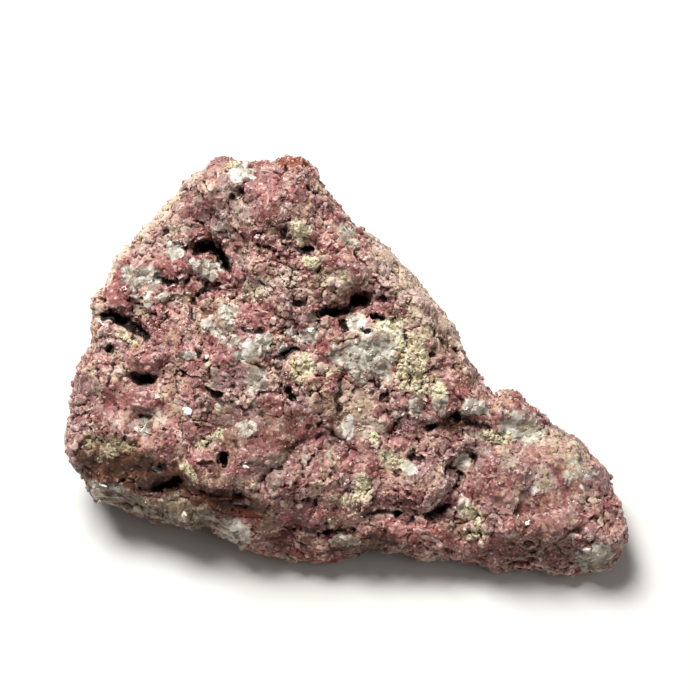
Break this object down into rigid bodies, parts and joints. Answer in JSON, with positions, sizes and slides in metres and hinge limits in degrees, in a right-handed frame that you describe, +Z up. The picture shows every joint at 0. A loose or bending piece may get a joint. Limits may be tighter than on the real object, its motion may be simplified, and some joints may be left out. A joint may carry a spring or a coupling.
{
  "type": "piemontite specimen",
  "caption": "Palm-sized rough broken stone of rose-red piemontite rock with grey quartz, yellow-green grains and dark vugs, lying on a flat break.",
  "frame": {"origin": "middle of the stone's footprint, on the floor it lies on", "axes": "+X along the stone's length, from the blunt broad end towards the narrow lobe; +Z up; the rough show face leans back from the -Y side and looks up and towards -Y"},
  "size_m": [0.084, 0.0566, 0.0405],
  "materials": {
    "rose_rock": "rough, sugary, rose red to brownish pink",
    "quartz": "grey-white, glassy and cloudy",
    "piemontite": "deep rose-red grains with a glassy gloss",
    "epidote": "pale yellow-green, fine-grained"
  },
  "bodies": {
    "root": {"piemontite_stone": "rose_rock"}
  },
  "joints": []
}
